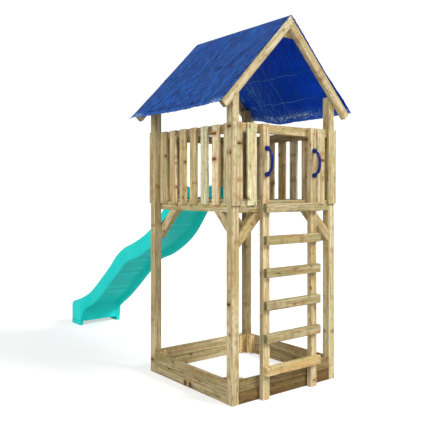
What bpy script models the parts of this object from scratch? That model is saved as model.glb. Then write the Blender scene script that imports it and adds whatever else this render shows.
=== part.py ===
"""Garden play tower: a timber platform with a pitched canopy, a ladder and a wave slide.

Units are metres, +Z is up. The ladder faces -Y and the slide runs out towards +Y.
The origin lies on the ground, at the middle of the whole object's outline.
"""
import math

import bmesh
import bpy
from mathutils import Vector

# Timber sections
POST = 0.068            # square post
PLANK = 0.068           # width of beams, rails, stiles, rungs, braces and rafters
PLANK_THICK = 0.044
BOARD = 0.088           # width of boards and slats
BOARD_THICK = 0.018
PLANK_EDGE = 0.004      # rounding along the planed edges
BOARD_EDGE = 0.002
GAP = 0.0003            # clearance between pieces that touch
SEAT = 0.001            # how far fused boards sink into the rail that carries them
CLEAR = 2 * GAP + SEAT  # what passes a fused board keeps this from the post's face

# Tower
TOWER_X = 1.102         # across the outer faces of the posts
TOWER_Y = 1.108
POST_TOP = 2.335
BEAM_LOW = 1.400
RAIL_TOP = 2.062
FLOOR_BOARDS = 12
SLAT_LOW, SLAT_TOP = 1.453, 2.065
SIDE_SLATS = 7
SIDE_SLAT_STEP = 0.1448
FRONT_SLAT_STEP = 0.135
SLIDE_OPENING = 0.444   # clear width between the innermost back slats

# Sandpit frame at the foot
SANDPIT_LOW = 0.003
SANDPIT_TOP = 0.1795
BOARD_JOINT = 0.0025
CLEAT_SEAT = 0.0055     # how far a cleat, a short length of plank, sinks into its boards
CLEAT_INSET = 0.0035    # cleat ends short of the boards' ends

# Knee braces, at 45 degrees
BRACE_REACH = 0.255     # from the corner to the lower edge, along the beam and down the post

# Ladder
LADDER_WIDTH = 0.580
RUNGS = 6
FIRST_RUNG = 0.221      # height of the first rung's centre
RUNG_STEP = 0.2426

# Grab handles
HANDLE_LOW, HANDLE_HIGH = 1.683, 1.879      # centres of the two end bosses
HANDLE_BOSS = 0.018                         # radius of a boss, and how far out its centre sits
HANDLE_BOSS_OUT = 0.013
HANDLE_BAR = 0.0105
HANDLE_STANDOFF = 0.055                     # bar axis to the stile's face
HANDLE_ROOT = 0.22                          # share of the standoff at which the bar leaves a boss
HANDLE_BOW = 1.02                           # bow of the bar, cut off at the full standoff
HANDLE_STEPS = 16

# Roof
RIDGE_TOP = 2.917
ROOF_PITCH = math.radians(46.3)
RIDGE_BEAM = 0.060
RIDGE_DROP = 0.0025     # ridge beam's top corner below the line of the rafters' outer edges
RAFTER_FOOT_X = 0.684   # outer corner of a rafter's lower end
RAFTER_CLEAR = 0.002    # between a rafter's head and the ridge beam
RAFTER_MEET = 0.001     # half the gap between two rafters under the ridge beam
GUSSET_LOW = 2.755
GUSSET_INSET = 0.014    # gusset's edges short of the roof line
COVER_FOOT_X = 0.702
COVER_FRONT, COVER_BACK = -0.603, 0.622
COVER_THICK = 0.003
COVER_CLEAR = 0.0006

# Slide: heights of its edges along the run, as (distance behind the tower's middle, height)
SLIDE_START, SLIDE_FOOT, SLIDE_END = 0.470, 2.505, 2.790
FOOT_LEAN = 0.050       # lower edge of the wall across the foot, beyond its upper edge
SLIDE_LIP = 1.4876      # underside where the slide rests on the floor
SKIRT = [(0.470, SLIDE_LIP), (0.575, SLIDE_LIP), (0.640, 1.432), (0.834, 1.222), (0.974, 1.097),
         (1.120, 1.000), (1.340, 0.893), (1.560, 0.820), (1.750, 0.685), (2.030, 0.468),
         (2.250, 0.312), (2.420, 0.222), (2.505, 0.181), (2.790, 0.140)]
RIM = [(0.470, 1.560), (0.500, 1.596), (0.560, 1.610), (0.660, 1.610), (0.710, 1.585),
       (0.780, 1.490), (0.872, 1.367), (1.050, 1.208), (1.206, 1.118), (1.425, 1.026),
       (1.582, 0.971), (1.745, 0.878), (1.868, 0.770), (2.060, 0.621), (2.261, 0.473),
       (2.436, 0.362), (2.600, 0.300), (2.700, 0.272), (2.760, 0.245), (2.790, 0.215)]
BED_RISE = [(0.470, 0.0), (0.600, 0.002), (0.700, 0.035), (0.800, 0.075), (2.400, 0.075),
            (2.790, 0.040)]
BED_THICK = 0.016
SLIDE_HALF = [(0.470, 0.219), (0.720, 0.219), (0.950, 0.234), (2.300, 0.236), (2.500, 0.262),
              (2.755, 0.262), (2.775, 0.254), (2.790, 0.236)]
SLIDE_STATION = 0.05    # spacing of the sections along the run
FOOT_STATIONS = (SLIDE_FOOT + FOOT_LEAN, 2.630, 2.700, 2.755, 2.775, SLIDE_END)
FOOT_ARCH = 0.045
SKIRT_IN = 0.020        # lower edge of a side wall inside its widest line
SKIRT_THICK = 0.038     # side wall's thickness at its lower edge
WALL_FOOT = 0.092       # inner foot of a side wall, from its widest line
UNDER_FLAT = 0.120      # half width of the flat strip under the bed

HALF_X, HALF_Y = TOWER_X / 2, TOWER_Y / 2
INNER_X, INNER_Y = HALF_X - POST, HALF_Y - POST
BEAM_TOP = BEAM_LOW + PLANK
RAIL_LOW = RAIL_TOP - PLANK
BEAM_X = INNER_X - CLEAR            # outer faces of the side beams and ends of the floor
STILE_FACE = HALF_Y + CLEAR + PLANK_THICK
HANDLE_FRONT = STILE_FACE + GAP + HANDLE_STANDOFF + HANDLE_BAR
FRAME_Y = (HANDLE_FRONT - SLIDE_END) / 2    # puts the origin at the middle of the outline

PINE = (0.60, 0.47, 0.27, 1)
TARPAULIN = (0.03, 0.09, 0.36, 1)
SLIDE_GREEN = (0.02, 0.50, 0.46, 1)
HANDLE_BLUE = (0.01, 0.02, 0.20, 1)


def start():
    """Clear the scene and make the collections and the frame that everything hangs from."""
    for obj in list(bpy.data.objects):
        bpy.data.objects.remove(obj)
    scene = bpy.context.scene.collection
    parts = bpy.data.collections.new("play_tower")
    cutters = bpy.data.collections.new("cutters")
    scene.children.link(parts)
    scene.children.link(cutters)
    frame = bpy.data.objects.new("tower_frame", None)
    frame.location = (0, FRAME_Y, 0)
    parts.objects.link(frame)
    return parts, cutters, frame


PARTS, CUTTERS, FRAME = start()


def material(name, colour, roughness):
    mat = bpy.data.materials.new(name)
    mat.use_nodes = True
    shader = mat.node_tree.nodes["Principled BSDF"]
    shader.inputs["Base Color"].default_value = colour
    shader.inputs["Roughness"].default_value = roughness
    shader.inputs["Metallic"].default_value = 0.0
    return mat


def place(name, data, location=(0, 0, 0), colour=PINE, roughness=0.7, helper=False):
    """Link an object; a helper is a solid that another object's Boolean takes in."""
    obj = bpy.data.objects.new(name, data)
    obj.parent = FRAME
    obj.location = location
    if helper:
        CUTTERS.objects.link(obj)
        obj.hide_render = True
        obj.display_type = "WIRE"
    else:
        PARTS.objects.link(obj)
        data.materials.append(material(name, colour, roughness))
    return obj


def round_edges(obj, width):
    bevel = obj.modifiers.new("edges", "BEVEL")
    bevel.width = width
    bevel.segments = 1
    bevel.limit_method = "ANGLE"


def boxes(name, spans, edge, **options):
    """One mesh of cuboids, each given as its low and high corner."""
    origin = (Vector(spans[0][0]) + Vector(spans[0][1])) / 2
    bm = bmesh.new()
    for low, high in spans:
        low, high = Vector(low), Vector(high)
        cube = bmesh.ops.create_cube(bm, size=1)["verts"]
        bmesh.ops.scale(bm, vec=high - low, verts=cube)
        bmesh.ops.translate(bm, vec=(low + high) / 2 - origin, verts=cube)
    mesh = bpy.data.meshes.new(name)
    bm.to_mesh(mesh)
    bm.free()
    obj = place(name, mesh, origin, **options)
    round_edges(obj, edge)
    return obj


def fuse(obj, helper):
    union = obj.modifiers.new("joined", "BOOLEAN")
    union.operation = "UNION"
    union.solver = "EXACT"
    union.object = helper


def prism(name, outline, thickness, location, turn=0.0, edge=PLANK_EDGE, **options):
    """A flat outline in X and Z, thickened along Y, then turned about the vertical."""
    curve = bpy.data.curves.new(name, "CURVE")
    curve.dimensions = "2D"
    curve.fill_mode = "BOTH"
    curve.extrude = thickness / 2
    spline = curve.splines.new("POLY")
    spline.points.add(len(outline) - 1)
    for point, (x, z) in zip(spline.points, outline):
        point.co = (x, z, 0, 1)
    spline.use_cyclic_u = True
    obj = place(name, curve, location, **options)
    obj.rotation_euler = (math.pi / 2, 0, turn)
    weld = obj.modifiers.new("closed", "WELD")
    weld.merge_threshold = 0.0001
    if edge:
        round_edges(obj, edge)
    return obj


def posts():
    for side, sx in (("left", -1), ("right", 1)):
        for end, sy in (("front", -1), ("back", 1)):
            xs = sorted((sx * HALF_X, sx * INNER_X))
            ys = sorted((sy * HALF_Y, sy * INNER_Y))
            boxes(f"post_{end}_{side}", [((xs[0], ys[0], 0), (xs[1], ys[1], POST_TOP))], PLANK_EDGE)


def beams():
    """Front and back beams end between the posts; the side beams lie inside them."""
    for end, sy in (("front", -1), ("back", 1)):
        ys = sorted((sy * HALF_Y, sy * (HALF_Y - PLANK_THICK)))
        reach = INNER_X - GAP
        boxes(f"beam_{end}", [((-reach, ys[0], BEAM_LOW), (reach, ys[1], BEAM_TOP))], PLANK_EDGE)
    for side, sx in (("left", -1), ("right", 1)):
        xs = sorted((sx * BEAM_X, sx * (BEAM_X - PLANK_THICK)))
        reach = HALF_Y - PLANK_THICK - GAP
        boxes(f"beam_{side}", [((xs[0], -reach, BEAM_LOW), (xs[1], reach, BEAM_TOP))], PLANK_EDGE)


def floor():
    """Boards laid side by side; a thin web between them keeps the floor one piece."""
    step = (TOWER_Y - 2 * GAP - BOARD) / (FLOOR_BOARDS - 1)
    low = -HALF_Y + GAP
    half = BOARD_THICK / 2
    web = 0.002
    upper = []
    for i in range(FLOOR_BOARDS):
        start_y = low + i * step
        if i:
            upper.append((start_y, web))
        upper += [(start_y, half), (start_y + BOARD, half)]
        if i < FLOOR_BOARDS - 1:
            upper.append((start_y + BOARD, web))
    outline = upper + [(y, -z) for y, z in reversed(upper)]
    height = BEAM_TOP + GAP + half
    prism("platform_floor", outline, 2 * BEAM_X, (0, 0, height), turn=math.pi / 2, edge=0)


def parapets():
    """Each side is a top rail that carries upright slats on its outer face."""
    for side, sx in (("left", -1), ("right", 1)):
        outer = INNER_X - GAP
        back = outer - SEAT
        xs = sorted((sx * outer, sx * (outer - PLANK_THICK)))
        reach = HALF_Y - PLANK_THICK - GAP
        low, high = (xs[0], -reach, RAIL_LOW), (xs[1], reach, RAIL_TOP)
        rail = boxes(f"parapet_{side}", [(low, high)], PLANK_EDGE)
        slats = []
        for i in range(SIDE_SLATS):
            middle = (i - (SIDE_SLATS - 1) / 2) * SIDE_SLAT_STEP
            faces = sorted((sx * back, sx * (back + BOARD_THICK)))
            slats.append(((faces[0], middle - BOARD / 2, SLAT_LOW),
                          (faces[1], middle + BOARD / 2, SLAT_TOP)))
        fuse(rail, boxes(f"slats_{side}", slats, BOARD_EDGE, helper=True))

    inmost = SLIDE_OPENING / 2 + BOARD / 2
    outmost = HALF_X - BOARD / 2
    places = {"front": (outmost, outmost - FRONT_SLAT_STEP),
              "back": (outmost, (outmost + inmost) / 2, inmost)}
    for end, sy in (("front", -1), ("back", 1)):
        ys = sorted((sy * (HALF_Y + GAP + SEAT), sy * (HALF_Y - PLANK_THICK)))
        reach = INNER_X - GAP
        low, high = (-reach, ys[0], RAIL_LOW), (reach, ys[1], RAIL_TOP)
        rail = boxes(f"parapet_{end}", [(low, high)], PLANK_EDGE)
        near = HALF_Y + GAP
        faces = sorted((sy * near, sy * (near + BOARD_THICK)))
        slats = []
        for middle in places[end]:
            for x in (-middle, middle):
                slats.append(((x - BOARD / 2, faces[0], SLAT_LOW),
                              (x + BOARD / 2, faces[1], SLAT_TOP)))
        fuse(rail, boxes(f"slats_{end}", slats, BOARD_EDGE, helper=True))


def sandpit():
    """Two stacked boards a side, held by a short upright plank at each end."""
    board = (SANDPIT_TOP - SANDPIT_LOW - BOARD_JOINT) / 2
    courses = [(SANDPIT_LOW, SANDPIT_LOW + board), (SANDPIT_TOP - board, SANDPIT_TOP)]
    cleat_heights = (SANDPIT_LOW + CLEAT_INSET, SANDPIT_TOP - CLEAT_INSET)

    def span(across, along_side, heights, swap):
        """Corners of a cuboid; the front and back panels swap X and Y."""
        low, high = [min(across), along_side[0]], [max(across), along_side[1]]
        if swap:
            low.reverse()
            high.reverse()
        return (*low, heights[0]), (*high, heights[1])

    sides = (("left", -1, False), ("right", 1, False), ("front", -1, True), ("back", 1, True))
    for name, sign, swap in sides:
        outer = (HALF_Y if swap else HALF_X) - GAP
        reach = (INNER_X if swap else INNER_Y) - GAP
        inner = outer - BOARD_THICK
        faces = (sign * outer, sign * inner)
        cleat_faces = (sign * (inner + CLEAT_SEAT), sign * (inner - PLANK_THICK))
        end = reach - CLEAT_INSET
        boards = [span(faces, (-reach, reach), course, swap) for course in courses]
        cleats = [span(cleat_faces, ends, cleat_heights, swap)
                  for ends in ((-end, PLANK - end), (end - PLANK, end))]
        panel = boxes(f"sandpit_{name}", boards, BOARD_EDGE)
        fuse(panel, boxes(f"cleats_{name}", cleats, BOARD_EDGE, helper=True))


def braces():
    """Knee braces under the beams, flat in the plane of the beam that they carry."""
    slant = PLANK * math.sqrt(2)
    top = BEAM_LOW - GAP

    def outline(corner):
        """From the corner between post and beam, along the beam and down the post."""
        edge = corner - GAP
        inner = edge - BRACE_REACH
        return [(inner, top), (inner + slant, top),
                (edge, top - BRACE_REACH + slant), (edge, top - BRACE_REACH)]

    for end, sy in (("front", -1), ("back", 1)):
        for side, sx in (("left", -1), ("right", 1)):
            middle = sy * (HALF_Y - PLANK_THICK / 2)
            shape = [(sx * x, z) for x, z in outline(INNER_X)]
            prism(f"brace_{end}_{side}", shape, PLANK_THICK, (0, middle, 0), edge=0.003)
            across = sx * (BEAM_X - PLANK_THICK / 2)
            shape = [(sy * y, z) for y, z in outline(HALF_Y - PLANK_THICK)]
            prism(f"brace_{side}_{end}", shape, PLANK_THICK, (across, 0, 0),
                  turn=math.pi / 2, edge=0.003)


def ladder():
    half = LADDER_WIDTH / 2
    for side, sx in (("left", -1), ("right", 1)):
        xs = sorted((sx * half, sx * (half - PLANK)))
        low, high = (xs[0], -STILE_FACE, 0), (xs[1], PLANK_THICK - STILE_FACE, RAIL_TOP)
        boxes(f"ladder_stile_{side}", [(low, high)], PLANK_EDGE)
    face = -STILE_FACE - GAP
    for i in range(RUNGS):
        middle = FIRST_RUNG + i * RUNG_STEP
        low = (-half, face - PLANK_THICK, middle - PLANK / 2)
        boxes(f"rung_{i + 1}", [(low, (half, face, middle + PLANK / 2))], PLANK_EDGE)


def mesh_from(obj):
    """The evaluated mesh of an object, with its caps welded shut."""
    evaluated = obj.evaluated_get(bpy.context.evaluated_depsgraph_get())
    mesh = bpy.data.meshes.new_from_object(evaluated)
    bm = bmesh.new()
    bm.from_mesh(mesh)
    bmesh.ops.remove_doubles(bm, verts=bm.verts, dist=0.0001)
    bm.to_mesh(mesh)
    bm.free()
    return mesh


def handles():
    """A bowed bar between two ball bosses, screwed to the front of each stile."""
    face = -STILE_FACE - GAP
    height = HANDLE_HIGH - HANDLE_LOW
    for side, sx in (("left", -1), ("right", 1)):
        x = sx * (LADDER_WIDTH - PLANK) / 2
        bow = bpy.data.curves.new("bow", "CURVE")
        bow.dimensions = "3D"
        bow.bevel_depth = HANDLE_BAR
        bow.bevel_resolution = 2
        bow.use_fill_caps = True
        spline = bow.splines.new("POLY")
        spline.points.add(HANDLE_STEPS)
        for i, point in enumerate(spline.points):
            t = i / HANDLE_STEPS
            rise = HANDLE_ROOT + HANDLE_BOW * math.sqrt(math.sin(math.pi * t))
            point.co = (0, -HANDLE_STANDOFF * min(1.0, rise), height * t, 1)
        guide = place("bow_guide", bow, helper=True)
        mesh = mesh_from(guide)
        bpy.data.objects.remove(guide)
        bar = place(f"grab_handle_{side}", mesh, (x, face, HANDLE_LOW), HANDLE_BLUE, 0.35)
        bm = bmesh.new()
        for z in (0, height):
            ball = bmesh.ops.create_uvsphere(bm, u_segments=14, v_segments=9, radius=HANDLE_BOSS)
            bmesh.ops.translate(bm, vec=(0, -HANDLE_BOSS_OUT, z), verts=ball["verts"])
        half_plane = bm.verts[:] + bm.edges[:] + bm.faces[:]
        cut = bmesh.ops.bisect_plane(bm, geom=half_plane, plane_co=(0, 0, 0),
                                     plane_no=(0, 1, 0), clear_outer=True)
        rims = [e for e in cut["geom_cut"] if isinstance(e, bmesh.types.BMEdge)]
        bmesh.ops.contextual_create(bm, geom=[e for e in rims if e.verts[0].co.z < height / 2])
        bmesh.ops.contextual_create(bm, geom=[e for e in rims if e.verts[0].co.z > height / 2])
        bmesh.ops.recalc_face_normals(bm, faces=bm.faces)
        bosses = bpy.data.meshes.new("bosses")
        bm.to_mesh(bosses)
        bm.free()
        fuse(bar, place(f"bosses_{side}", bosses, (x, face, HANDLE_LOW), helper=True))


def roof_line(x, offset=0.0):
    """Height of the roof plane at a distance from the ridge, offset square to the slope."""
    return RIDGE_TOP + offset / math.cos(ROOF_PITCH) - abs(x) * math.tan(ROOF_PITCH)


def roof():
    slope = Vector((math.cos(ROOF_PITCH), -math.sin(ROOF_PITCH)))
    inward = Vector((-math.sin(ROOF_PITCH), -math.cos(ROOF_PITCH)))
    half_diagonal = RIDGE_BEAM / math.sqrt(2)
    ridge_corner = RIDGE_TOP - RIDGE_DROP
    end = HALF_Y + PLANK_THICK + GAP
    diamond = [(0, ridge_corner), (-half_diagonal, ridge_corner - half_diagonal),
               (0, ridge_corner - 2 * half_diagonal), (half_diagonal, ridge_corner - half_diagonal)]
    prism("ridge_beam", diamond, 2 * end, (0, 0, 0), edge=0.002)

    foot = Vector((RAFTER_FOOT_X, roof_line(RAFTER_FOOT_X)))
    inner_foot = foot + inward * PLANK
    head_x = half_diagonal + RAFTER_CLEAR
    head = (head_x, roof_line(head_x))
    throat = (RAFTER_MEET, ridge_corner - 2 * half_diagonal - RAFTER_CLEAR)
    crotch = (RAFTER_MEET, roof_line(RAFTER_MEET, -PLANK))
    shape = [head, throat, crotch, tuple(inner_foot), tuple(foot)]
    for end_name, sy in (("front", -1), ("back", 1)):
        middle = sy * (HALF_Y + GAP + PLANK_THICK / 2)
        for side, sx in (("left", -1), ("right", 1)):
            prism(f"rafter_{end_name}_{side}", [(sx * x, z) for x, z in shape], PLANK_THICK,
                  (0, middle, 0), edge=0.003)
        low, high = GUSSET_LOW, ridge_corner - 2 * half_diagonal - GAP
        wide, narrow = [(RIDGE_TOP - z) / math.tan(ROOF_PITCH) - GUSSET_INSET for z in (low, high)]
        plate = [(-wide, low), (wide, low), (narrow, high), (-narrow, high)]
        prism(f"ridge_gusset_{end_name}", plate, BOARD_THICK,
              (0, sy * (HALF_Y - BOARD_THICK / 2), 0), edge=BOARD_EDGE)

    inside = [(x, roof_line(x, COVER_CLEAR)) for x in (-COVER_FOOT_X, 0, COVER_FOOT_X)]
    outside = [(x, roof_line(x, COVER_CLEAR + COVER_THICK)) for x in (COVER_FOOT_X, 0, -COVER_FOOT_X)]
    prism("roof_cover", inside + outside, COVER_BACK - COVER_FRONT,
          (0, (COVER_BACK + COVER_FRONT) / 2, 0), edge=0, colour=TARPAULIN, roughness=0.45)


def along(knots, y):
    """Smooth curve through knots, with no overshoot between them."""
    if y <= knots[0][0]:
        return knots[0][1]
    for i in range(len(knots) - 1):
        if y <= knots[i + 1][0]:
            break
    else:
        return knots[-1][1]

    def slope(j):
        if j <= 0 or j >= len(knots) - 1:
            return 0.0 if len(knots) < 3 else chord(max(0, min(j, len(knots) - 2)))
        before, after = chord(j - 1), chord(j)
        return 0.0 if before * after <= 0 else 2 * before * after / (before + after)

    def chord(j):
        return (knots[j + 1][1] - knots[j][1]) / (knots[j + 1][0] - knots[j][0])

    (y0, v0), (y1, v1) = knots[i], knots[i + 1]
    span = y1 - y0
    t = (y - y0) / span
    return ((2 * t ** 3 - 3 * t ** 2 + 1) * v0 + (t ** 3 - 2 * t ** 2 + t) * span * slope(i)
            + (3 * t ** 2 - 2 * t ** 3) * v1 + (t ** 3 - t ** 2) * span * slope(i + 1))


def slide_section(y, foot):
    """Half of the slide's section, from the middle of its underside round to its bed."""
    skirt = along(SKIRT, y)
    rim = along(RIM, y)
    under = skirt + along(BED_RISE, y)
    bed = under + BED_THICK
    half = along(SLIDE_HALF, y)
    low = half - SKIRT_IN
    if foot:
        under, skirt = FOOT_ARCH, 0.0
        low = half
    underside = [(0, under), (UNDER_FLAT, under), (low - SKIRT_THICK - 0.010, skirt + 0.006),
                 (low - 0.010, skirt), (low, skirt + 0.008)]
    rolled_rim = [(half, rim - 0.022), (half - 0.004, rim - 0.008), (half - 0.016, rim),
                  (half - 0.030, rim), (half - 0.041, rim - 0.010)]
    inside = [(half - WALL_FOOT + 0.022, bed + 0.016), (half - WALL_FOOT, bed), (0, bed)]
    return underside + rolled_rim + inside


def slide():
    """One moulded channel, lofted through upright sections from the platform to the ground."""
    runs = round((SLIDE_FOOT - SLIDE_START) / SLIDE_STATION)
    step = (SLIDE_FOOT - SLIDE_START) / runs
    stations = [(SLIDE_START + step * i, False) for i in range(runs + 1)]
    stations += [(y, True) for y in FOOT_STATIONS]
    bm = bmesh.new()
    rings = []
    for y, foot in stations:
        half = slide_section(y, foot)
        ring = half + [(-x, z) for x, z in reversed(half[1:-1])]
        rings.append([bm.verts.new((x, y, z)) for x, z in ring])
    for near, far in zip(rings, rings[1:]):
        for i in range(len(near)):
            j = (i + 1) % len(near)
            bm.faces.new((near[i], near[j], far[j], far[i]))
    bm.faces.new(rings[0])
    bm.faces.new(rings[-1])
    bmesh.ops.recalc_face_normals(bm, faces=bm.faces)
    mesh = bpy.data.meshes.new("slide")
    bm.to_mesh(mesh)
    bm.free()
    mesh.shade_smooth()
    mesh.set_sharp_from_angle(angle=math.radians(40))
    place("slide", mesh, (0, 0, 0), SLIDE_GREEN, 0.35)


posts()
beams()
floor()
parapets()
sandpit()
braces()
ladder()
handles()
roof()
slide()
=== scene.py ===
"""Looks of the garden play tower: pine timber, tarpaulin roof, moulded slide and grab handles.

Units are metres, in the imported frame: +Z up, the ladder faces -Y, the slide runs out to +Y.
"""

import math
import random

import bmesh
import bpy
from mathutils import Matrix, Vector, noise


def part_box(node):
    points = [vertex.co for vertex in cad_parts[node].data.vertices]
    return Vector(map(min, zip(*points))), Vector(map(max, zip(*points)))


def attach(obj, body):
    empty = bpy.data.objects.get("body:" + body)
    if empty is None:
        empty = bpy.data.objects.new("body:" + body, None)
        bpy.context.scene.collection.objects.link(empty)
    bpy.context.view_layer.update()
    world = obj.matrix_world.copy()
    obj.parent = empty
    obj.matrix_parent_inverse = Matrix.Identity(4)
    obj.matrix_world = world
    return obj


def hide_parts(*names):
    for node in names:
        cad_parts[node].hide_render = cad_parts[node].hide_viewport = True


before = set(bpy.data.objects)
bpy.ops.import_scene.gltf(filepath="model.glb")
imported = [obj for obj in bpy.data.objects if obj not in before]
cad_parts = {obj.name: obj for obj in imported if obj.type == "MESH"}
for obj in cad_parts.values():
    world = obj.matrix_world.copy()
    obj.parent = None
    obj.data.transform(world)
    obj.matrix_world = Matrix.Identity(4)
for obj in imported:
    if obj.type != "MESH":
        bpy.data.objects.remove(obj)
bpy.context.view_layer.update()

# The tower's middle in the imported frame: sizes below are measured from there
TOWER_Y = (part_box("post_front_left")[0].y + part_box("post_back_left")[1].y) / 2

# The camera stands left of the ladder, a little above a child's height on the ground
CAMERA_PLACE = (-3.346, -3.934, 1.569)
CAMERA_TURN = -37.687
CAMERA_LENS = 51.57
CAMERA_SHIFT = -0.0525

BODY = "root"
CORNERS = [(end, side) for end in ("front", "back") for side in ("left", "right")]
SIGN = {"left": -1, "right": 1, "front": -1, "back": 1}
SLOPE = math.radians(46.3)      # pitch of the roof
UP = Vector((0, 0, 1))
ACROSS = Vector((1, 0, 0))
ALONG = Vector((0, 1, 0))

# Timber sections
BOARD = 0.088
BOARD_THICK = 0.018
PLANK_THICK = 0.044
PLANK = 0.068           # width of rails and cleats
BOARD_ROUND = 0.0028    # rounding of a board's edges
PLANK_ROUND = 0.004


def in_tower(x, y, z):
    """A place measured from the tower's middle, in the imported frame."""
    return Vector((x, y + TOWER_Y, z))


def srgb(red, green, blue):
    """A colour given as 0 to 255, for a shader socket."""
    def linear(value):
        value /= 255
        return value / 12.92 if value <= 0.04045 else ((value + 0.055) / 1.055) ** 2.4
    return linear(red), linear(green), linear(blue), 1.0


def smooth(value, low, high):
    """0 below low, 1 above high, eased between."""
    t = min(1.0, max(0.0, (value - low) / (high - low)))
    return t * t * (3 - 2 * t)


def curve(knots, at):
    """A value read from a smooth curve through (place, value) knots, with no overshoot."""
    if at <= knots[0][0]:
        return knots[0][1]
    if at >= knots[-1][0]:
        return knots[-1][1]
    i = next(k for k in range(len(knots) - 1) if at <= knots[k + 1][0])

    def chord(j):
        return (knots[j + 1][1] - knots[j][1]) / (knots[j + 1][0] - knots[j][0])

    def lean(j):
        if j == 0 or j == len(knots) - 1:
            return chord(min(j, len(knots) - 2))
        before, after = chord(j - 1), chord(j)
        return 0.0 if before * after <= 0 else 2 * before * after / (before + after)

    (x0, v0), (x1, v1) = knots[i], knots[i + 1]
    span = x1 - x0
    t = (at - x0) / span
    return ((2 * t ** 3 - 3 * t ** 2 + 1) * v0 + (t ** 3 - 2 * t ** 2 + t) * span * lean(i)
            + (3 * t ** 2 - 2 * t ** 3) * v1 + (t ** 3 - t ** 2) * span * lean(i + 1))


class Graph:
    """Adds nodes to a node tree, each by one call that also sets or links its inputs."""

    def __init__(self, tree):
        self.tree = tree

    def add(self, kind, inputs=(), **settings):
        node = self.tree.nodes.new(kind)
        for key, value in settings.items():
            setattr(node, key, value)
        for key, value in dict(inputs).items():
            self.put(node.inputs[key], value)
        return node

    def put(self, socket, value):
        if isinstance(value, bpy.types.NodeSocket):
            self.tree.links.new(value, socket)
        else:
            socket.default_value = value

    def math(self, operation, *values, clamp=False):
        node = self.add("ShaderNodeMath", operation=operation, use_clamp=clamp)
        for socket, value in zip(node.inputs, values):
            self.put(socket, value)
        return node.outputs[0]

    def vector(self, operation, *values):
        node = self.add("ShaderNodeVectorMath", operation=operation)
        for socket, value in zip(node.inputs, values):
            self.put(socket, value)
        return node.outputs["Value" if operation in ("LENGTH", "DOT_PRODUCT") else "Vector"]

    def stretch(self, vector, x, y, z):
        return self.vector("MULTIPLY", vector, (x, y, z))

    def split(self, vector):
        return self.add("ShaderNodeSeparateXYZ", {"Vector": vector}).outputs

    def join(self, x, y, z):
        return self.add("ShaderNodeCombineXYZ", {"X": x, "Y": y, "Z": z}).outputs[0]

    def noise(self, vector, scale=1.0, detail=2.0, rough=0.5, twist=0.0):
        node = self.add("ShaderNodeTexNoise", {"Vector": vector, "Scale": scale, "Detail": detail,
                                               "Roughness": rough, "Distortion": twist})
        return node.outputs["Fac"]

    def spread(self, value, low, high, to_low=0.0, to_high=1.0, smooth=False):
        """Maps low..high to to_low..to_high, clamped."""
        kind = "SMOOTHSTEP" if smooth else "LINEAR"
        node = self.add("ShaderNodeMapRange", interpolation_type=kind, clamp=True)
        for socket, number in zip(node.inputs, (value, low, high, to_low, to_high)):
            self.put(socket, number)
        return node.outputs[0]

    def mix(self, factor, first, second, blend="MIX"):
        node = self.add("ShaderNodeMix", data_type="RGBA", blend_type=blend)
        for index, value in zip((0, 6, 7), (factor, first, second)):
            self.put(node.inputs[index], value)
        return node.outputs[2]

    def bump(self, height, shader):
        """Heights in metres."""
        node = self.add("ShaderNodeBump", {"Height": height, "Strength": 1.0, "Distance": 1.0})
        self.put(shader.inputs["Normal"], node.outputs["Normal"])


def new_material(name):
    """A material with its graph and its Principled shader."""
    material = bpy.data.materials.new(name)
    material.use_nodes = True
    return material, Graph(material.node_tree), material.node_tree.nodes["Principled BSDF"]


# Pine: growth rings about a pith, knots with the grain flowing round them, fibres and tone
RING = 0.0042           # mean width of a year's growth
KNOT_SPACING = 0.075    # mean distance between branches
KNOT_DEPTH = 0.045      # distance from the pith at which a knot is round


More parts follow.
